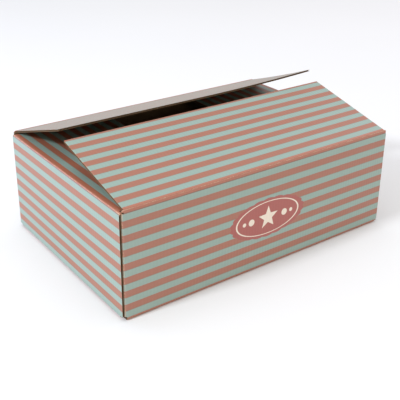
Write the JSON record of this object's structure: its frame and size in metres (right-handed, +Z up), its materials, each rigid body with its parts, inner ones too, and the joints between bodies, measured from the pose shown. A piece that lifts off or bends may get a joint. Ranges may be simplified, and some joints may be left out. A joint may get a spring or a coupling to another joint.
{
  "type": "corrugated carton",
  "caption": "Shallow rectangular corrugated carton with a striped print outside, a glued bottom and hinged top flaps that fold in to close it.",
  "frame": {"origin": "on the floor, at the middle of the carton's footprint", "axes": "+X along the front wall, to the right as seen from the front; +Y from the front wall to the rear wall; +Z up"},
  "size_m": [0.3, 0.2008, 0.1313],
  "materials": {
    "printed_board": "matte",
    "kraft_board": "matte",
    "adhesive": "satin"
  },
  "bodies": {
    "carton": {"front_wall": "printed_board", "front_bottom_fold": "printed_board", "front_bottom_flap": "printed_board", "front_top_crease": "printed_board", "right_wall": "printed_board", "right_bottom_fold": "printed_board", "right_bottom_flap": "printed_board", "right_top_crease": "printed_board", "rear_wall": "printed_board", "rear_bottom_fold": "printed_board", "rear_bottom_flap": "printed_board", "rear_top_crease": "printed_board", "left_wall": "printed_board", "left_bottom_fold": "printed_board", "left_bottom_flap": "printed_board", "left_top_crease": "printed_board", "front_right_corner_fold": "printed_board", "rear_right_corner_fold": "printed_board", "rear_left_corner_fold": "printed_board", "joint_corner_fold": "printed_board", "glue_tab": "kraft_board", "joint_glue": "adhesive", "bottom_glue_front_left": "adhesive", "bottom_glue_rear_left": "adhesive", "bottom_glue_front_right": "adhesive", "bottom_glue_rear_right": "adhesive"},
    "front_flap": {"front_top_flap": "printed_board"},
    "rear_flap": {"rear_top_flap": "printed_board"},
    "left_flap": {"left_top_flap": "printed_board"},
    "right_flap": {"right_top_flap": "printed_board"}
  },
  "joints": [
    {"name": "front_flap_crease", "type": "hinge", "parent": "carton", "child": "front_flap", "pos_m": [0, -0.1, 0.1], "axis": [1, 0, 0], "range_deg": [-14.5, 247.5]},
    {"name": "rear_flap_crease", "type": "hinge", "parent": "carton", "child": "rear_flap", "pos_m": [0, 0.1, 0.1], "axis": [-1, 0, 0], "range_deg": [-18.5, 243.5]},
    {"name": "left_flap_crease", "type": "hinge", "parent": "carton", "child": "left_flap", "pos_m": [-0.1484, 0, 0.0965], "axis": [0, -1, 0], "range_deg": [-69, 0]},
    {"name": "right_flap_crease", "type": "hinge", "parent": "carton", "child": "right_flap", "pos_m": [0.1484, 0, 0.0965], "axis": [0, 1, 0], "range_deg": [-69, 0]}
  ]
}
